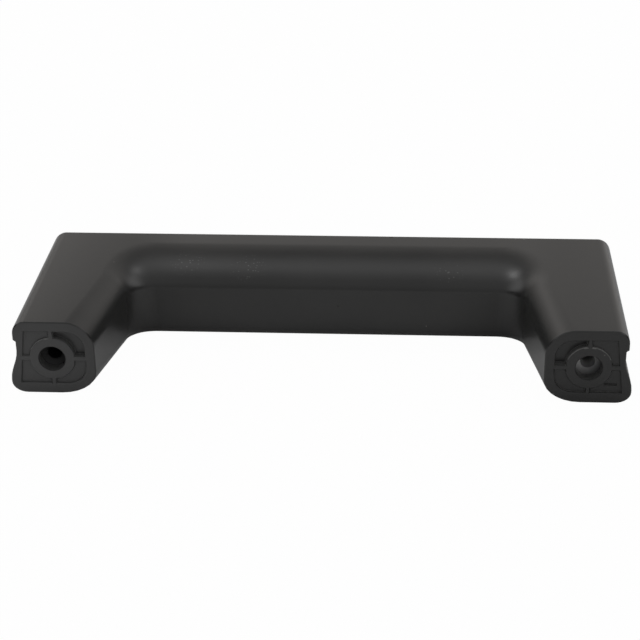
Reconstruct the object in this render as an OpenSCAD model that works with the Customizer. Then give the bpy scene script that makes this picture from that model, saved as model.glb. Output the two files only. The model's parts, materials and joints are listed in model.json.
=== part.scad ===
// Car pull handle: a U-shaped grip moulded in one piece of satin black plastic.
// The flat underside lies on z = 0, the grip bar runs along X, and both legs point to -Y.
// Each leg ends in a flat face with a screw hole, a ring round the hole and shallow pockets.

/* [Overall] */
// width over the lower lips of the two legs
overall_w = 186; // [170:1:220]
// distance from the end faces of the legs to the back of the grip bar
reach = 70; // [64:1:84]
// height from the underside to the flat top
height = 24; // [23:0.5:28]

/* [Grip bar] */
// depth of the grip bar from its back to the finger side
bar_depth = 31; // [28:0.5:34]
// how far the sloped crown reaches back from the finger side
crown_run = 21; // [14:0.5:23]
// how far the crown falls from the flat top to the upright finger side
crown_drop = 7.5; // [4:0.5:9]
// rounding under the finger side of the bar
bar_under_r = 3.5; // [2:0.5:6]

/* [Legs] */
// width of a leg at its end face
foot_w = 26; // [25:0.5:30]
// width of a leg where it meets the bar
root_w = 31.5; // [30:0.5:38]
// radius in plan of the inner corner between leg and bar
inner_corner_r = 9; // [5:0.5:12]
// radius in plan of the outer back corner
outer_corner_r = 5.5; // [4:0.5:8]

/* [Edge rounding] */
// width of the upper inner rounding of a leg at the bar
root_top_run = 8; // [5:0.5:10]
// width of the upper inner rounding of a leg at its end face
foot_top_run = 9; // [5:0.5:10]
// height of the upper inner rounding of a leg at its end face
foot_top_drop = 8.5; // [6:0.5:10]
// width of the lower inner rounding of a leg at its end face
foot_under_run = 11; // [5:0.5:12]
// height of the lower inner rounding of a leg at its end face
foot_under_rise = 7.5; // [5:0.5:9]
// rounding of the outer top edge all round
top_edge_r = 4; // [1.5:0.1:4.5]
// width of the rounding of the outer bottom edge
under_edge_run = 4.7; // [4:0.1:7]
// height of the rounding of the outer bottom edge
under_edge_rise = 3.6; // [3:0.2:4.4]
// small break of the edge round each end face
face_break = 0.35; // [0.2:0.05:0.6]

/* [Trim step] */
// how far the upper lip stands inside the lower lip
lip_in = 1.5; // [1:0.1:2]
// how far the trim recess stands inside the lower lip
recess_in = 2.3; // [2.1:0.1:3]
// depth of the trim step below the flat top
step_depth = 6.2; // [5:0.1:7]
// length of the full trim recess from the end face
recess_run = 22; // [10:1:26]
// length over which the recess runs out
recess_fade = 9; // [4:1:10]

/* [End faces] */
// depth of the pockets in each end face
pocket_depth = 0.8; // [0.6:0.1:1.6]
// depth of the upper pocket on the finger side
groove_depth = 2.2; // [1.7:0.1:3]
// inner side of the pockets, from the outermost side of the leg
pocket_in = 23; // [22:0.5:24]
// outer side of the pockets at their top, from the outermost side of the leg
pocket_out = 5; // [4.5:0.5:6]
// outer side of the pockets at their bottom, from the outermost side of the leg
pocket_out_low = 3; // [3:0.5:4]
// top of the pockets below the flat top
pocket_top = 3.25; // [3:0.25:4]
// bottom of the pockets above the underside
pocket_floor = 3.5; // [3.5:0.25:5]
// corner radius of the pockets on the finger side
pocket_r = 5.5; // [3:0.5:7]
// outer radius of the ring round the screw hole
ring_r = 7; // [6.5:0.1:7.5]
// thickness of the ribs that join the ring to the rim
rib_w = 1.6; // [1:0.1:2.5]
// length of the short slot in the outer lower pocket of the right-hand end face
slot_len = 3.8; // [3:0.1:5]
// width of the short slot
slot_w = 0.7; // [0.6:0.1:1]
// depth of the short slot below the pocket floor
slot_depth = 0.6; // [0.5:0.1:2]

/* [Screw holes] */
// distance between the two screw holes
hole_spacing = 160; // [144:0.5:194]
// height of the screw holes above the underside
hole_height = 11.8; // [11:0.1:13]
// radius of the wide seat at the mouth of a screw hole
seat_r = 3.9; // [3.4:0.1:4.2]
// depth of the wide seat
seat_depth = 3.2; // [1:0.1:5]
// radius of a screw hole past its seat
hole_r = 2.2; // [1.5:0.1:3]
// depth of a screw hole from the end face
hole_depth = 30; // [20:1:32]
// chamfer at the mouth of the seat
mouth_chamfer = 0.25; // [0.2:0.05:0.8]

/* [Hidden] */
plastic_color = [0.07, 0.07, 0.072];
eps = 0.01;

half_w = overall_w / 2;
back_y = reach / 2;
face_y = -reach / 2;
finger_y = back_y - bar_depth;
foot_x = half_w - foot_w;
root_x = half_w - root_w;
hole_x = hole_spacing / 2;
taper = atan((foot_x - root_x) / (finger_y - face_y));
fillet_x = root_x - inner_corner_r * (1 - sin(taper)) / cos(taper);
fillet_y = finger_y - inner_corner_r;
leg_end_y = fillet_y + inner_corner_r * sin(taper);
corner_power = 0.6;
lip_depth = 19.6;
step_slope = 0.6;
blend_start = 3.6;
seat_cone = 1.3;

leg_steps = 9;
corner_steps = 14;
side_steps = 3;
bar_steps = 4;
under_steps = 7;
crown_steps = 12;
edge_steps = 7;
wall_steps = 4;
blend_steps = 6;
corner_facets = 8;

function mix(a, b, t) = a + (b - a) * t;
function smooth(t) = (1 - cos(180 * min(1, max(0, t)))) / 2;
function leg_share(y) = min(1, max(0, (finger_y - y) / (finger_y - face_y)));

// Depths below the flat top at which the outer side of a leg is drawn.
side_depths = concat(
    [top_edge_r, step_depth, step_depth + step_slope],
    [for (i = [0:blend_steps])
        mix(step_depth + blend_start, lip_depth, i / blend_steps)]
);

// Plain side: a straight draft from the upper lip to the lower lip.
function plain_in(d) = lip_in * (1 - (d - top_edge_r) / (lip_depth - top_edge_r));

// Side with the trim recess: a lip, a step, an upright floor and a blend to the lower lip.
function recess_side(d) =
    d < step_depth + step_slope / 2 ? lip_in
    : recess_in * (1 - smooth((d - step_depth - blend_start) / (lip_depth - step_depth - blend_start)));

function side_in(d, y) =
    mix(recess_side(d), plain_in(d), smooth((y - face_y - recess_run) / recess_fade));

// Outer half of a cross-section, from the middle of the underside round to the top.
// Each entry is [distance inward, height].
function outer_half(y) = concat(
    [for (i = [0:under_steps])
        let (a = 90 - 90 * i / under_steps)
        [under_edge_run * (1 - cos(a)), under_edge_rise * (1 - sin(a))]],
    [for (i = [len(side_depths) - 1:-1:0])
        if (side_depths[i] < height - under_edge_rise - eps)
        [side_in(side_depths[i], y), height - side_depths[i]]],
    [for (i = [1:edge_steps])
        let (a = 90 * i / edge_steps)
        [lip_in + top_edge_r * (1 - cos(a)), height - top_edge_r * (1 - sin(a))]]
);

// Inner half of a cross-section, from the top round to the underside.
// Each entry is [share of the top run, share of the under run, height].
function inner_half(top_drop, under_rise) = concat(
    [for (i = [crown_steps:-1:0])
        let (a = 90 * i / crown_steps)
        [1 - cos(a), 0, height - top_drop * (1 - sin(a))]],
    [for (i = [1:wall_steps - 1])
        [0, 0, mix(height - top_drop, under_rise, i / wall_steps)]],
    [for (i = [0:under_steps])
        let (a = 90 * i / under_steps)
        [0, 1 - cos(a), under_rise * (1 - sin(a))]]
);

// One cross-section of the right-hand half: outer point and outward way, inner point and runs.
function section(outer, way, inner, top_run, under_run, top_drop, under_rise) = concat(
    [for (p = outer_half(outer[1]))
        [outer[0] - way[0] * p[0], outer[1] - way[1] * p[0], p[1]]],
    [for (p = inner_half(top_drop, under_rise))
        [inner[0] + top_run[0] * p[0] + under_run[0] * p[1],
         inner[1] + top_run[1] * p[0] + under_run[1] * p[1],
         p[2]]]
);

// The same cross-section past the end face, drawn in so that the cut leaves a broken edge.
function drawn_in(ring, mid) = [for (p = ring)
    let (d = [p[0] - mid[0], p[2] - mid[1]] * 2 * face_break / norm([p[0] - mid[0], p[2] - mid[1]]))
    [p[0] - d[0], face_y - face_break, p[2] - d[1]]];

leg_ys = [for (i = [0:leg_steps])
    mix(face_y + face_break, leg_end_y, i / leg_steps)];

function leg_section(y) =
    let (t = leg_share(y), x = mix(root_x, foot_x, t))
    section(
        [half_w, y], [1, 0], [x, y],
        [mix(root_top_run, foot_top_run, t), 0],
        [mix(bar_under_r, foot_under_run, t), 0],
        mix(crown_drop, foot_top_drop, t),
        mix(bar_under_r, foot_under_rise, t)
    );

// Path of the outer side round the back corner, as [point, outward way].
side_y0 = leg_end_y;
side_y1 = back_y - outer_corner_r;
turn_steps = corner_steps - 2 * side_steps;
outer_turn = concat(
    [for (i = [1:side_steps])
        [[half_w, mix(side_y0, side_y1, i / side_steps)], [1, 0]]],
    [for (i = [1:turn_steps])
        let (a = 90 * i / turn_steps)
        [[half_w - outer_corner_r + outer_corner_r * cos(a), side_y1 + outer_corner_r * sin(a)],
         [cos(a), sin(a)]]],
    [for (i = [1:side_steps])
        [[mix(half_w - outer_corner_r, fillet_x, i / side_steps), back_y], [0, 1]]]
);

function corner_section(i) =
    let (
        u = i / corner_steps,
        a = mix(taper, 90, u),
        along = pow(max(0, sin(90 * (1 - u))), corner_power),
        across = pow(max(0, sin(90 * u)), corner_power),
        t = leg_share(leg_end_y),
        o = outer_turn[i - 1]
    )
    section(
        o[0], o[1],
        [fillet_x + inner_corner_r * cos(a), fillet_y + inner_corner_r * sin(a)],
        [mix(root_top_run, foot_top_run, t) * along, crown_run * across],
        [mix(bar_under_r, foot_under_run, t) * along, bar_under_r * across],
        mix(mix(crown_drop, foot_top_drop, t), crown_drop, u),
        mix(mix(bar_under_r, foot_under_rise, t), bar_under_r, u)
    );

function bar_section(x) = section(
    [x, back_y], [0, 1], [x, finger_y],
    [0, crown_run], [0, bar_under_r], crown_drop, bar_under_r
);

first_ring = leg_section(leg_ys[0]);
face_mid = [mix(foot_x, half_w, 0.5), height / 2];
right_rings = concat(
    [drawn_in(first_ring, face_mid), first_ring],
    [for (i = [1:leg_steps]) leg_section(leg_ys[i])],
    [for (i = [1:corner_steps]) corner_section(i)]
);

function mirrored(ring) = [for (p = ring) [-p[0], p[1], p[2]]];

rings = concat(
    right_rings,
    [for (i = [1:bar_steps - 1]) bar_section(mix(fillet_x, -fillet_x, i / bar_steps))],
    [for (i = [len(right_rings) - 1:-1:0]) mirrored(right_rings[i])]
);

module body_shell() {
    n = len(rings);
    m = len(rings[0]);
    points = [for (ring = rings) for (p = ring) p];
    walls = [for (i = [0:n - 2]) for (j = [0:m - 1])
        let (k = (j + 1) % m)
        [i * m + j, i * m + k, (i + 1) * m + k, (i + 1) * m + j]];
    near_cap = [for (j = [m - 1:-1:0]) j];
    far_cap = [for (j = [0:m - 1]) (n - 1) * m + j];
    polyhedron(points, concat(walls, [near_cap, far_cap]), convexity = 6);
}

// Quarter turn of a rounded corner from one angle to the next, as points of an outline.
function quarter(centre, r, from) = [for (i = [0:corner_facets])
    let (a = from + 90 * i / corner_facets)
    centre + r * [cos(a), sin(a)]];

// Outline of the pocket area of the right-hand end face, drawn in the X and Z plane.
module pocket_area() {
    x0 = half_w - pocket_in;
    x1 = half_w - pocket_out;
    x2 = half_w - pocket_out_low;
    z0 = pocket_floor;
    z1 = height - pocket_top;
    polygon(concat(
        [[x2, z0], [x1, z1]],
        quarter([x0 + pocket_r, z1 - pocket_r], pocket_r, 90),
        quarter([x0 + pocket_r, z0 + pocket_r], pocket_r, 180)
    ));
}

module pocket_plan() {
    difference() {
        pocket_area();
        translate([hole_x, hole_height])
            circle(r = ring_r, $fn = 72);
        translate([hole_x - rib_w / 2, 0])
            square([rib_w, height]);
        translate([hole_x - foot_w, hole_height - rib_w / 2])
            square([2 * foot_w, rib_w]);
    }
}

// The upper pocket on the finger side, which is deeper than the rest.
module groove_plan() {
    intersection() {
        pocket_plan();
        translate([hole_x - foot_w, hole_height])
            square([foot_w, height]);
    }
}

module slot_plan() {
    x1 = half_w - pocket_out_low - 2 * slot_w;
    translate([x1 - slot_len, pocket_floor + 3 * slot_w])
        square([slot_len, slot_w]);
}

// Everything in front of the end faces, cut away to leave them flat.
module face_trim() {
    translate([-overall_w, face_y - reach, -height])
        cube([2 * overall_w, reach, 3 * height]);
}

// A cut of a given depth in an end face. The drawing plane is stood up so that it faces -Y.
module sunk(depth) {
    translate([0, face_y + depth, 0])
        rotate([90, 0, 0])
            linear_extrude(depth + 1)
                children();
}

// Chamfered seat, a cone that leads in, and the blind hole, turned as one cut.
module screw_hole() {
    translate([hole_x, face_y, hole_height])
        rotate([-90, 0, 0])
            rotate_extrude($fn = 64)
                polygon([
                    [0, -1],
                    [seat_r + mouth_chamfer + 1, -1],
                    [seat_r, mouth_chamfer],
                    [seat_r, seat_depth],
                    [hole_r, seat_depth + seat_cone],
                    [hole_r, hole_depth],
                    [0, hole_depth]
                ]);
}

module handle_body() {
    color(plastic_color)
        difference() {
            body_shell();
            face_trim();
            for (side = [0, 1])
                mirror([side, 0, 0]) {
                    sunk(pocket_depth) pocket_plan();
                    sunk(groove_depth) groove_plan();
                    screw_hole();
                }
            sunk(pocket_depth + slot_depth) slot_plan();
        }
}

handle_body();
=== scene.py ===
# %% [markdown]
# # A car pull handle in satin black plastic
# The handle is one moulding: a grip bar between two legs, with a screw hole, a ring and shallow
# pockets in each end face. The measured solid comes in as a fixed frame. Everything here gives it
# the look of a real moulding: soft edges, a fine grain, small marks, and a plain studio round it.

# %% Load the frame
import json
import math

import bpy
from mathutils import Matrix, Vector

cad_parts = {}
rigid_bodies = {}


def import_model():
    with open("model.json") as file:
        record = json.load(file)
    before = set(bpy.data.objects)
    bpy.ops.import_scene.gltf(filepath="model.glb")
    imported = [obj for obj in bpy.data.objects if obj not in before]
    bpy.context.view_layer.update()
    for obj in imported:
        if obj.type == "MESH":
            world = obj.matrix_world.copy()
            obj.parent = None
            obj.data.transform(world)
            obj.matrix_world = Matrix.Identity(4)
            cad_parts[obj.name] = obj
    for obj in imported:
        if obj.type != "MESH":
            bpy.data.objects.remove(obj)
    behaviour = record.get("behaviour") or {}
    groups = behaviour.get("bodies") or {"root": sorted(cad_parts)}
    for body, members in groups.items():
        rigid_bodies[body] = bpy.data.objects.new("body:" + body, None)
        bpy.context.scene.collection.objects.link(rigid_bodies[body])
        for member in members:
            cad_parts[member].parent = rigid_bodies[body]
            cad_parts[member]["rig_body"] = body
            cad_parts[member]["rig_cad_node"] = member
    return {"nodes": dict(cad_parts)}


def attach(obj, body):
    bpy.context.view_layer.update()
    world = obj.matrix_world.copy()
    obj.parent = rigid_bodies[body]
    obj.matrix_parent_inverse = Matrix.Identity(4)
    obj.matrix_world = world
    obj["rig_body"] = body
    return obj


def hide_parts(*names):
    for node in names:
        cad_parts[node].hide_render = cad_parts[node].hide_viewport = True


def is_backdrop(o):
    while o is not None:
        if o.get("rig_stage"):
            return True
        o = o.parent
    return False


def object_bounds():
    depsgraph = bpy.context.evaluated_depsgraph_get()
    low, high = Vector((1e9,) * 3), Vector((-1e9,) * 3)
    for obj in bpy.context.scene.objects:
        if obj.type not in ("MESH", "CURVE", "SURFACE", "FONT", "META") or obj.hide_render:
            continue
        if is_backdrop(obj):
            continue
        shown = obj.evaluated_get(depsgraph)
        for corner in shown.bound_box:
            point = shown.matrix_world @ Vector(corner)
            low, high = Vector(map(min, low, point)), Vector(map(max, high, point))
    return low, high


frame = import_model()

cad_low, cad_high = (list(corner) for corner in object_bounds())
MM = 0.001
solid = frame["nodes"]["handle_body"]
half_width = cad_high[0]
face_y = cad_low[1]
print("handle in mm:", [round((b - a) / MM, 1) for a, b in zip(cad_low, cad_high)])

# %% [markdown]
# ## The camera
# The photograph looks down on the handle from in front, a little from the right. Its place was
# solved from the outline and the two screw holes, so the lens is a long one, the picture's middle
# is the lens's middle, and no shift is needed. The turn is built from three plain angles: down,
# sideways, and a slight roll.

# %% Camera
camera_place = Vector((29.97, -471.12, 250.02)) * MM
camera_down = math.radians(27.101)
camera_side = math.radians(-3.826)
camera_roll = math.radians(-0.822)
picture_px = 640
focal_px = 1673.3
sensor_mm = 36.0
nearest_seen = 0.01

camera_data = bpy.data.cameras.new("camera")
camera_data.sensor_width = sensor_mm
camera_data.lens = focal_px / picture_px * camera_data.sensor_width
camera_data.clip_start = nearest_seen
camera = bpy.data.objects.new("camera", camera_data)
bpy.context.scene.collection.objects.link(camera)
camera.matrix_world = (
    Matrix.Translation(camera_place)
    @ Matrix.Rotation(-camera_side, 4, "Z")
    @ Matrix.Rotation(math.pi / 2 - camera_down, 4, "X")
    @ Matrix.Rotation(camera_roll, 4, "Z")
)
bpy.context.scene.camera = camera
print("lens in mm:", round(camera_data.lens, 1))

# %% [markdown]
# ## Small helpers for materials
# A node tree is easier to read when each node is made and wired in one line. `add_node` makes a
# node and sets its plain values. A value that is a socket is wired, anything else is written in.
# Four more helpers make the nodes that come back again and again: a step of arithmetic, a fade
# between two values, one colour laid over another, and the place on the piece.

# %% Node helpers
# The Mix node has sockets of each kind of value under one name, so its colours go by number.
UNDER, OVER, MIXED = 6, 7, 2


def put(tree, socket, value):
    if isinstance(value, bpy.types.NodeSocket):
        tree.links.new(value, socket)
    else:
        socket.default_value = value


def add_node(tree, kind, settings=None, **inputs):
    made = tree.nodes.new(kind)
    for name, value in (settings or {}).items():
        setattr(made, name, value)
    for name, value in inputs.items():
        put(tree, made.inputs[name.replace("_", " ")], value)
    return made


def math_of(tree, operation, first, second=None):
    made = add_node(tree, "ShaderNodeMath", settings={"operation": operation})
    for socket, value in zip(made.inputs, (first, second)):
        if value is not None:
            put(tree, socket, value)
    return made.outputs[0]


def fade_between(tree, value, low, high, to_low=0.0, to_high=1.0, kind="SMOOTHSTEP"):
    return add_node(
        tree, "ShaderNodeMapRange", settings={"interpolation_type": kind},
        Value=value, From_Min=low, From_Max=high, To_Min=to_low, To_Max=to_high,
    ).outputs[0]


def lay_colour(tree, share, under, over):
    made = add_node(tree, "ShaderNodeMix", settings={"data_type": "RGBA"}, Factor=share)
    put(tree, made.inputs[UNDER], under)
    put(tree, made.inputs[OVER], over)
    return made.outputs[MIXED]


def place_on_piece(tree):
    return add_node(tree, "ShaderNodeTexCoord").outputs["Object"]


def new_group(name, inputs, outputs):
    tree = bpy.data.node_groups.new(name, "ShaderNodeTree")
    for label, kind, value in inputs:
        made = tree.interface.new_socket(label, in_out="INPUT", socket_type=kind)
        if value is not None:
            made.default_value = value
    for label, kind in outputs:
        tree.interface.new_socket(label, in_out="OUTPUT", socket_type=kind)
    goes_in = tree.nodes.new("NodeGroupInput").outputs
    comes_out = tree.nodes.new("NodeGroupOutput").inputs
    return tree, goes_in, comes_out


# %% [markdown]
# ## Fine moulded grain
# The tool that moulds such a handle is spark-eroded, which leaves a very fine, even grain. Up
# close it breaks the highlights into a satin sheen. Two noises do that: one at the size of the
# grain itself, and a slow one that makes the sheen drift a little over the surface, as a real
# moulding's does where the plastic flowed and cooled unevenly.

# %% Grain group
grain, grain_in, grain_out = new_group(
    "moulded grain",
    [("Grain size mm", "NodeSocketFloat", 0.35), ("Drift size mm", "NodeSocketFloat", 22.0)],
    [("Height", "NodeSocketFloat"), ("Drift", "NodeSocketFloat")],
)
grain_place = place_on_piece(grain)
for made_of, goes_to, detail in (
    ("Grain size mm", "Height", 2.0),
    ("Drift size mm", "Drift", 3.0),
):
    noise = add_node(
        grain, "ShaderNodeTexNoise", Vector=grain_place, Detail=detail, Roughness=0.5,
        Scale=math_of(grain, "DIVIDE", 1 / MM, grain_in[made_of]),
    )
    put(grain, grain_out[goes_to], noise.outputs["Fac"])
print("groups:", [tree.name for tree in bpy.data.node_groups])

# %% [markdown]
# ## Specks of dust
# The photograph shows a few pale specks on the flat top and along the crown. Each is a cell of a
# Voronoi pattern that is kept only where its random colour is low, so most cells stay clean, and
# the speck is the small disc round the cell's middle.

# %% Dust group
dust, dust_in, dust_out = new_group(
    "dust specks",
    [
        ("Spacing mm", "NodeSocketFloat", 4.0),
        ("Speck size", "NodeSocketFloat", 0.05),
        ("Share kept", "NodeSocketFloat", 0.1),
    ],
    [("Mask", "NodeSocketFloat")],
)
cells = add_node(
    dust, "ShaderNodeTexVoronoi", settings={"feature": "F1"}, Randomness=1.0,
    Vector=place_on_piece(dust), Scale=math_of(dust, "DIVIDE", 1 / MM, dust_in["Spacing mm"]),
).outputs
chance = add_node(dust, "ShaderNodeSeparateColor", Color=cells["Color"]).outputs["Red"]
near = math_of(dust, "LESS_THAN", cells["Distance"], dust_in["Speck size"])
kept = math_of(dust, "LESS_THAN", chance, dust_in["Share kept"])
put(dust, dust_out["Mask"], math_of(dust, "MULTIPLY", near, kept))

# %% [markdown]
# ## The sheen of the leg tops
# In the photograph the flat tops of the legs aren't evenly lit: they are brightest along the outer
# side and fade towards the finger side, as if the moulding sank a little there. The measured solid
# is flat and stays flat. Only the normal leans, so that the top mirrors the light as the real one
# does: not at all at the outer side, and by some eleven degrees at the finger side.

# %% Crown group
crown, crown_in, crown_out = new_group(
    "leg crown",
    [
        ("Crest mm", "NodeSocketFloat", 89.0),
        ("Inner side mm", "NodeSocketFloat", 64.0),
        ("Lean", "NodeSocketFloat", 0.2),
    ],
    [("Normal", "NodeSocketVector")],
)
top_from, top_full = 0.5, 0.9
leg_from_mm, leg_full_mm = 44.0, 66.0


def crown_math(*values):
    return math_of(crown, *values)


plain_normal = add_node(crown, "ShaderNodeNewGeometry").outputs["Normal"]
facing_up = add_node(crown, "ShaderNodeSeparateXYZ", Vector=plain_normal).outputs["Z"]
across = add_node(crown, "ShaderNodeSeparateXYZ", Vector=place_on_piece(crown)).outputs["X"]
across_mm = crown_math("MULTIPLY", crown_math("ABSOLUTE", across), 1 / MM)
inward = crown_math(
    "DIVIDE",
    crown_math("SUBTRACT", crown_in["Crest mm"], across_mm),
    crown_math("SUBTRACT", crown_in["Crest mm"], crown_in["Inner side mm"]),
)
on_top = fade_between(crown, facing_up, top_from, top_full)
on_leg = fade_between(crown, across_mm, leg_from_mm, leg_full_mm)
lean = crown_math("MULTIPLY", crown_math("MINIMUM", inward, 1.0), crown_in["Lean"])
lean = crown_math("MULTIPLY", lean, crown_math("MULTIPLY", on_top, on_leg))
lean_x = crown_math("MULTIPLY", crown_math("MULTIPLY", lean, -1.0), crown_math("SIGN", across))
leaned = add_node(crown, "ShaderNodeVectorMath", settings={"operation": "ADD"})
put(crown, leaned.inputs[0], plain_normal)
put(crown, leaned.inputs[1], add_node(crown, "ShaderNodeCombineXYZ", X=lean_x).outputs[0])
unit = add_node(crown, "ShaderNodeVectorMath", settings={"operation": "NORMALIZE"})
put(crown, unit.inputs[0], leaned.outputs[0])
put(crown, crown_out["Normal"], unit.outputs[0])

# %% [markdown]
# ## Marks and painted light
# There is a painted highlight on the left wall of the right-hand screw hole, painted light over the
# left end face, a dark speck on the bar's finger side, and scuffs along the crown. Each is a soft
# blot round one point, so one group makes them all: full strength at the point, and nothing past
# the reach. A scuff is such a blot broken up by fine specks.

# %% Blot group
blot, blot_in, blot_out = new_group(
    "soft blot",
    [("Middle", "NodeSocketVector", None), ("Reach mm", "NodeSocketFloat", 3.0)],
    [("Mask", "NodeSocketFloat")],
)
gap = add_node(blot, "ShaderNodeVectorMath", settings={"operation": "DISTANCE"})
put(blot, gap.inputs[0], place_on_piece(blot))
put(blot, gap.inputs[1], blot_in["Middle"])
gap_mm = math_of(blot, "MULTIPLY", gap.outputs["Value"], 1 / MM)
fade = fade_between(blot, gap_mm, 0.0, blot_in["Reach mm"], to_low=1.0, to_high=0.0)
put(blot, blot_out["Mask"], fade)

# %% [markdown]
# ## Satin black plastic
# The colour is a near black that is a touch warm. The base is so dark that almost all that the eye
# sees is sheen, so the roughness matters most: it sets how soft the highlights are. The grain
# gives the bump, the slow drift moves colour and roughness, and dust lightens a few specks.
# The roughness may only swing a very little. The outer skin lies just above the roughness at which
# the denoiser takes a sheen for a mirror, and a swing across it draws fine lines, like cracks.

# %% Plastic material
drift_low, drift_high = 0.3, 0.7
rough_swing = 0.012
dust_colour = (0.12, 0.12, 0.11, 1)
scuff_specks = {"Spacing_mm": 0.9, "Speck_size": 0.3, "Share_kept": 0.4}


def grey(level):
    return level, level, level, 1


def group_node(tree, group, **inputs):
    return add_node(tree, "ShaderNodeGroup", settings={"node_tree": group}, **inputs).outputs


def blot_mask(tree, place_mm, reach_mm):
    middle = [c * MM for c in place_mm]
    return group_node(tree, blot, Middle=middle, Reach_mm=reach_mm)["Mask"]


def plastic(
    name, dark, light, rough, bump_mm, grain_mm, dust_share, crowned=False, blots=(), scuffs=()
):
    material = bpy.data.materials.new(name)
    material.use_nodes = True
    tree = material.node_tree
    shader = tree.nodes["Principled BSDF"]
    shader.inputs["IOR"].default_value = 1.5

    marks = group_node(tree, grain, Grain_size_mm=grain_mm)
    specks = group_node(tree, dust, Share_kept=dust_share)
    drift = fade_between(tree, marks["Drift"], drift_low, drift_high, kind="LINEAR")
    tone = lay_colour(tree, drift, (*dark, 1), (*light, 1))
    tone = lay_colour(tree, specks["Mask"], tone, dust_colour)
    for place_mm, reach_mm, level in blots:
        tone = lay_colour(tree, blot_mask(tree, place_mm, reach_mm), tone, grey(level))
    for place_mm, reach_mm, level in scuffs:
        fine = group_node(tree, dust, **scuff_specks)["Mask"]
        broken = math_of(tree, "MULTIPLY", blot_mask(tree, place_mm, reach_mm), fine)
        tone = lay_colour(tree, broken, tone, grey(level))
    put(tree, shader.inputs["Base Color"], tone)

    sheen = fade_between(
        tree, marks["Drift"], drift_low, drift_high,
        to_low=rough - rough_swing, to_high=rough + rough_swing, kind="LINEAR",
    )
    put(tree, shader.inputs["Roughness"], sheen)

    bump = add_node(
        tree, "ShaderNodeBump", Height=marks["Height"], Strength=1.0, Distance=bump_mm * MM
    )
    if crowned:
        put(tree, bump.inputs["Normal"], group_node(tree, crown)["Normal"])
    put(tree, shader.inputs["Normal"], bump.outputs[0])
    return material


# %% [markdown]
# ## Seven finishes of one plastic
# It is the same plastic everywhere, but not the same surface. The outer skin is grained, the end
# faces are smoother, and the bores were formed by pins that leave a dull wall, darker than the
# skin.
# The seat at the mouth of a bore is painted paler as painted light, the pocket walls hold some dust
# and are painted paler as painted light, the ring's upper rim is a painted highlight, and the walls
# of the deeper pocket are painted paler as painted light too.

# %% Make the finishes
skin = plastic(
    "satin black skin", (0.016, 0.016, 0.0158), (0.021, 0.0208, 0.0203),
    rough=0.29, bump_mm=0.006, grain_mm=0.35, dust_share=0.06, crowned=True,
    blots=[((4.0, 4.0, 11.4), 0.55, 0.0)],
    scuffs=[
        ((-44.5, 12.0, 22.4), 7.0, 0.08),
        ((-25.0, 10.6, 21.9), 8.0, 0.07),
        ((39.3, 9.3, 21.5), 6.0, 0.07),
    ],
)
end_skin = plastic(
    "end face plastic", (0.013, 0.013, 0.0128), (0.018, 0.018, 0.0175),
    rough=0.36, bump_mm=0.008, grain_mm=0.5, dust_share=0.10,
    # Painted light: a broad blot makes the left end face lighter, as if more light reached it from
    # the left front.
    blots=[((-86, -35, 8), 45.0, 0.055)],
)
# Painted highlight: a pale patch on the left wall and seat of the right-hand screw hole, standing
# in for light that falls into the hole.
hole_highlight_marks = [((76.8, -31.2, 13.6), 4.0, 0.30), ((78.3, -27.5, 13.2), 8.0, 0.75)]
bore_skin = plastic(
    "bore plastic", (0.004, 0.004, 0.004), (0.007, 0.007, 0.007),
    rough=0.6, bump_mm=0.01, grain_mm=0.6, dust_share=0.0, blots=hole_highlight_marks,
)
# Painted light: the seat wall is painted paler than the skin, standing in for light in the mouth of
# the hole.
seat_painted_light = plastic(
    "seat wall plastic with painted light", (0.05, 0.05, 0.049), (0.07, 0.07, 0.068),
    rough=0.5, bump_mm=0.01, grain_mm=0.6, dust_share=0.0, blots=hole_highlight_marks,
)
# Painted highlight: the ring's rounded upper rim is painted pale where it would catch the light.
rim_painted_highlight = plastic(
    "rim plastic with painted highlight", (0.10, 0.10, 0.098), (0.15, 0.15, 0.147),
    rough=0.34, bump_mm=0.006, grain_mm=0.5, dust_share=0.0,
)
# The pocket walls hold dust specks, and their base is painted paler than the skin as painted light
# in the recess.
wall_dust_and_painted_light = plastic(
    "pocket wall plastic with dust and painted light", (0.04, 0.04, 0.039), (0.055, 0.055, 0.053),
    rough=0.55, bump_mm=0.01, grain_mm=0.6, dust_share=0.2,
)
# Painted light: the deeper pocket's walls are painted paler, so the shade in that groove is softer.
groove_painted_light = plastic(
    "groove wall plastic with painted light", (0.085, 0.085, 0.083), (0.10, 0.10, 0.098),
    rough=0.55, bump_mm=0.01, grain_mm=0.6, dust_share=0.0,
)
finishes = (skin, end_skin, bore_skin, wall_dust_and_painted_light, rim_painted_highlight, seat_painted_light, groove_painted_light)
SKIN, END, BORE, WALL, RIM, SEAT, GROOVE = range(len(finishes))
print("materials:", [material.name for material in finishes])

# %% [markdown]
# ## The moulded body
# The measured solid has true shapes but hard corners. A real moulding has none: every edge of the
# pockets, the ring and the holes is broken by a fraction of a millimetre, and that thin rounding
# is what draws the fine light lines in the photograph. So the body is a copy of the solid, with its
# loose triangles merged, its flat faces joined, and a narrow bevel on the hard edges only.

# %% Copy the solid and merge it
same_point = 0.002 * MM
same_plane = math.radians(0.4)

bpy.ops.object.select_all(action="DESELECT")
body = solid.copy()
body.data = solid.data.copy()
body.name = "handle_skin"
body.data.name = "handle_skin"
body.parent = None
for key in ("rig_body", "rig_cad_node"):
    if key in body:
        del body[key]
bpy.context.scene.collection.objects.link(body)
body.matrix_world = Matrix.Identity(4)
bpy.context.view_layer.objects.active = body
body.select_set(True)

bpy.ops.object.mode_set(mode="EDIT")
bpy.ops.mesh.select_all(action="SELECT")
bpy.ops.mesh.remove_doubles(threshold=same_point)
bpy.ops.mesh.dissolve_limited(angle_limit=same_plane)
bpy.ops.object.mode_set(mode="OBJECT")
print("merged body:", len(body.data.vertices), "points", len(body.data.polygons), "faces")

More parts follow.
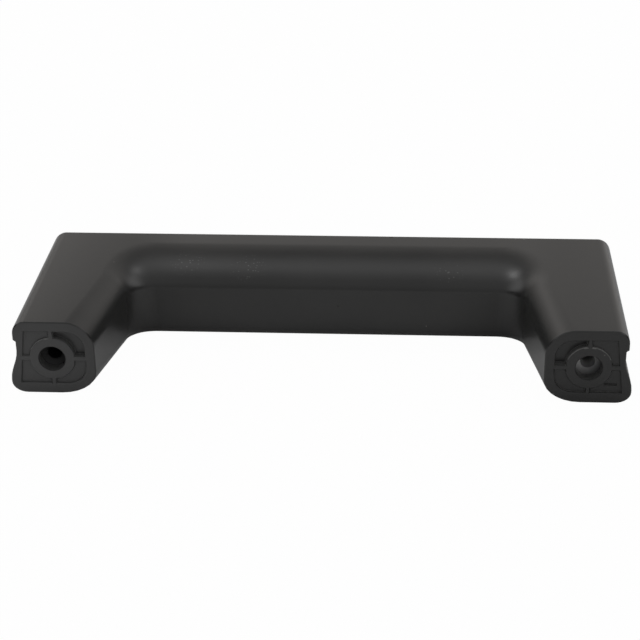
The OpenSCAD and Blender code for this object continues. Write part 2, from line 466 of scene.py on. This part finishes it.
# %% [markdown]
# ## Break the hard edges
# The edges in the plane of the end faces are the widest, and the inner ones narrower. The edges
# of the slanting chamfers are the narrowest, since the chamfer is the break itself. The bevel
# takes each edge's share of the widest break from its weight.

# %% Bevel by weight
rim_break_mm = 0.42
inner_break_mm = 0.18
chamfer_break_mm = 0.1
break_steps = 3
hard_edge = math.radians(32)
smooth_edge = math.radians(35)
slant_low, slant_high = 0.3, 0.95
rim_reach = 0.05 * MM

mesh = body.data
faces_of_edge = {}
for face in mesh.polygons:
    for key in face.edge_keys:
        faces_of_edge.setdefault(key, []).append(face)
weights = mesh.attributes.new("bevel_weight_edge", "FLOAT", "EDGE")
rims = 0
for edge in mesh.edges:
    faces = faces_of_edge.get(edge.key, [])
    if len(faces) == 2 and faces[0].normal.angle(faces[1].normal) > hard_edge:
        ends = [mesh.vertices[i].co.y for i in edge.vertices]
        on_rim = max(abs(y - face_y) for y in ends) < rim_reach
        slanted = any(slant_low < abs(face.normal.y) < slant_high for face in faces)
        break_mm = chamfer_break_mm if slanted else rim_break_mm if on_rim else inner_break_mm
        weights.data[edge.index].value = break_mm / rim_break_mm
        rims += on_rim and not slanted
print("rim edges:", rims)

soften = body.modifiers.new("edge break", "BEVEL")
soften.width = rim_break_mm * MM
soften.segments = break_steps
soften.limit_method = "WEIGHT"
soften.use_clamp_overlap = False
bpy.ops.object.modifier_apply(modifier=soften.name)
bpy.ops.object.shade_smooth_by_angle(angle=smooth_edge)
even = body.modifiers.new("even normals", "WEIGHTED_NORMAL")
even.keep_sharp = True
bpy.ops.object.modifier_apply(modifier=even.name)
print("bevelled body:", len(body.data.polygons), "faces")

# %% [markdown]
# ## Which finish goes where
# Each face of the body gets one finish, told by its place and the way it looks. Lengths are taken
# from the middle of the nearer screw hole, from the outer side of the handle, from the plane of
# the end faces, or up from the underside. Whatever no rule claims is outer skin.

# %% Hand out the finishes
hole_x = 80 * MM
hole_z = 11.8 * MM
hole_r = 4.2 * MM
hole_reach = 40 * MM
seat_from = 3.6 * MM
pocket_depth = 2.6 * MM
pocket_reach = 14 * MM
pocket_sides = 2.9 * MM, 23.2 * MM
pocket_heights = 3.3 * MM, 20.9 * MM
ring_band = 6.4 * MM, 7.05 * MM
rim_slant = 0.1, 0.97
rim_rise = 0.25
facing_end = 0.9


def in_pockets(place):
    from_side = half_width - abs(place.x)
    between_sides = pocket_sides[0] < from_side < pocket_sides[1]
    return between_sides and pocket_heights[0] < place.z < pocket_heights[1]


def on_painted_highlight_rim(place, way, from_hole):
    """The rounded upper rim of the ring, which gets a painted highlight, except where it looks to
    the finger side on the left.
    """
    rounded = rim_slant[0] < abs(way.y) < rim_slant[1] and way.z > rim_rise
    on_ring = ring_band[0] < from_hole < ring_band[1] and place.y < face_y + rim_break_mm * MM
    return rounded and on_ring and not -hole_x < place.x < 0


def finish_of(place, way):
    from_hole = math.hypot(abs(place.x) - hole_x, place.z - hole_z)
    if place.y < face_y + rim_reach and abs(way.y) > rim_slant[1]:
        return END
    if from_hole < hole_r and place.y < face_y + hole_reach:
        return SEAT if from_hole > seat_from and abs(way.y) < slant_low else BORE
    if on_painted_highlight_rim(place, way, from_hole):
        return RIM
    if place.y < face_y + pocket_depth:
        if abs(way.y) > facing_end:
            return END
        if from_hole < pocket_reach and in_pockets(place):
            if place.y <= face_y + rim_break_mm * MM:
                return END
            return GROOVE if abs(place.x) < hole_x and place.z > hole_z else WALL
    return SKIN


body.data.materials.clear()
for material in finishes:
    body.data.materials.append(material)
counts = [0] * len(finishes)
for face in body.data.polygons:
    face.material_index = finish_of(face.center, face.normal)
    counts[face.material_index] += 1
print("faces of each finish:", counts)

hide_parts("handle_body")
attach(body, "root")

# %% [markdown]
# ## Floor and background
# The photograph's background is plain white. The floor is a pale sheet that catches a faint shadow.
# A camera ray sees it mostly as white paper, while the light on the handle stays at a plain level.

# %% Floor
floor_size = 6.0
floor_gap = 0.02 * MM
paper_share = 0.98

bpy.ops.object.select_all(action="DESELECT")
bpy.ops.mesh.primitive_plane_add(size=floor_size, location=(0, 0, cad_low[2] - floor_gap))
floor = bpy.context.object
floor.name = "floor"
paper = bpy.data.materials.new("white paper")
paper.use_nodes = True
paper_tree = paper.node_tree
paper_shader = paper_tree.nodes["Principled BSDF"]
paper_shader.inputs["Base Color"].default_value = grey(0.85)
paper_shader.inputs["Roughness"].default_value = 0.9
paper_shader.inputs["Specular IOR Level"].default_value = 0.1
glow = add_node(paper_tree, "ShaderNodeEmission", Strength=1.0)
floor_rays = add_node(paper_tree, "ShaderNodeLightPath").outputs
seen_share = math_of(paper_tree, "MULTIPLY", floor_rays["Is Camera Ray"], paper_share)
paper_mix = add_node(paper_tree, "ShaderNodeMixShader")
for socket, value in zip(
    paper_mix.inputs, (seen_share, paper_shader.outputs[0], glow.outputs[0])
):
    put(paper_tree, socket, value)
put(paper_tree, paper_tree.nodes["Material Output"].inputs["Surface"], paper_mix.outputs[0])
floor.data.materials.append(paper)
floor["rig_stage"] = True

# %% [markdown]
# ## Studio light
# A black satin plastic shows little colour of its own. What the eye sees is the room mirrored
# softly in it, so the light is a tent of pale sheets all round the handle, with dark gaps between
# them. The tent is drawn by direction in the world: one ramp gives the level at each angle from
# the back, over the top, to the front, and a brighter sheet stands high on either side. The ramp's
# red, green and blue are the levels at the left, in the middle and at the right. They follow the
# photograph: the crown of the bar shows a bright strip with a dark one on both sides.
# A camera ray, or one that has passed through glass, sees plain white paper instead. Rays that are
# mirrored see the tent, because the tent's reflection is what shapes this plastic.

# %% Tent levels
# Angle from the back in degrees, then the level at the left, in the middle and at the right.
tent_levels = [
    (0, 0.60, 0.16, 0.90),
    (12, 0.30, 0.07, 0.76),
    (24, 1.28, 0.92, 0.50),
    (34, 0.00, 0.12, 0.62),
    (44, 0.12, 0.12, 0.00),
    (54, 0.75, 0.75, 0.75),
    (66, 0.90, 0.90, 0.90),
    (80, 0.62, 0.62, 0.62),
    (100, 0.48, 0.48, 0.48),
    (130, 0.50, 0.50, 0.50),
    (180, 0.35, 0.35, 0.35),
]
brightest = 2.0
left_sheet, right_sheet = 1.55, 1.75
turn_share = 2.5
side_from, side_full = 0.5, 0.85
sheet_low, sheet_high = 0.25, 0.6
warm_to, plain_from = 0.15, 0.3
warm_colour = (1.0, 0.965, 0.93, 1)
paper_white = 1.0

world = bpy.data.worlds.new("studio")
bpy.context.scene.world = world
world.use_nodes = True
sky = world.node_tree
sky_shader = sky.nodes["Background"]
looking = add_node(sky, "ShaderNodeTexCoord").outputs["Generated"]
way_x, way_y, way_z = add_node(sky, "ShaderNodeSeparateXYZ", Vector=looking).outputs


def sky_math(*values):
    return math_of(sky, *values)


def share_towards(side):
    return sky_math("MINIMUM", 1.0, sky_math("MAXIMUM", 0.0, sky_math("MULTIPLY", way_x, side)))


# %% Tent nodes
climb = sky_math("MULTIPLY", sky_math("ARCTAN2", way_z, way_y), 1 / math.pi)
ramp = add_node(sky, "ShaderNodeValToRGB", Fac=climb)
while len(ramp.color_ramp.elements) < len(tent_levels):
    ramp.color_ramp.elements.new(1.0)
for stop, (degrees, *levels) in zip(ramp.color_ramp.elements, tent_levels):
    stop.position = degrees / 180
    stop.color = (*(level / brightest for level in levels), 1)
columns = add_node(sky, "ShaderNodeSeparateColor", Color=ramp.outputs["Color"]).outputs

leftness = share_towards(-turn_share)
rightness = share_towards(turn_share)
middleness = sky_math("SUBTRACT", sky_math("SUBTRACT", 1.0, leftness), rightness)
left_part = sky_math("MULTIPLY", columns["Red"], leftness)
middle_part = sky_math("MULTIPLY", columns["Green"], middleness)
right_part = sky_math("MULTIPLY", columns["Blue"], rightness)
sheets = sky_math("ADD", sky_math("ADD", left_part, middle_part), right_part)

to_side = fade_between(sky, sky_math("ABSOLUTE", way_x), side_from, side_full)
overhead = sky_math("MULTIPLY", sky_math("SUBTRACT", 1.0, to_side), sheets)
on_right = sky_math("GREATER_THAN", way_x, 0.0)
sheet_level = sky_math(
    "ADD", left_sheet, sky_math("MULTIPLY", on_right, right_sheet - left_sheet)
)
sheet = sky_math("MULTIPLY", to_side, fade_between(sky, way_z, sheet_low, sheet_high))
tent = sky_math(
    "ADD", sky_math("MULTIPLY", overhead, brightest), sky_math("MULTIPLY", sheet, sheet_level)
)
tent_above = sky_math("MULTIPLY", tent, sky_math("GREATER_THAN", way_z, 0.0))

# %% Paper for the camera, and a warm touch low at the back
sky_rays = add_node(sky, "ShaderNodeLightPath").outputs
sees_paper = sky_math("MAXIMUM", sky_rays["Is Camera Ray"], sky_rays["Is Transmission Ray"])
sky_pick = add_node(sky, "ShaderNodeMix", settings={"data_type": "FLOAT"}, Factor=sees_paper)
put(sky, sky_pick.inputs["A"], tent_above)
put(sky, sky_pick.inputs["B"], paper_white)
put(sky, sky_shader.inputs["Strength"], sky_pick.outputs["Result"])
plain = sky_math("MAXIMUM", fade_between(sky, climb, warm_to, plain_from), sees_paper)
put(sky, sky_shader.inputs["Color"], lay_colour(sky, plain, warm_colour, grey(1.0)))
print("tent sheets:", len(tent_levels), "from back to front, 2 at the sides")

# %% [markdown]
# ## Two small lamps
# Each inner corner shows a soft bright spot, the right one brighter. A concave corner mirrors what
# stands over the far side, so a small soft lamp hangs high behind each leg, for the other corner.

# %% Lamps
lamp_side_mm = 200


def small_lamp(name, place_mm, watts):
    data = bpy.data.lights.new(name, "AREA")
    data.size = lamp_side_mm * MM
    data.energy = watts
    lamp = bpy.data.objects.new(name, data)
    bpy.context.scene.collection.objects.link(lamp)
    place = Vector(place_mm) * MM
    turn = (-place).to_track_quat("-Z", "Y").to_matrix().to_4x4()
    lamp.matrix_world = Matrix.Translation(place) @ turn


small_lamp("lamp for the left corner", (370, 460, 800), 0.21)
small_lamp("lamp for the right corner", (-370, 460, 800), 0.47)

# %% [markdown]
# ## Finish
# The colours are shown through the Standard view transform. The dressed handle has to stay
# inside the measured solid's box.

# %% Standard view
bpy.context.scene.view_settings.view_transform = "Standard"
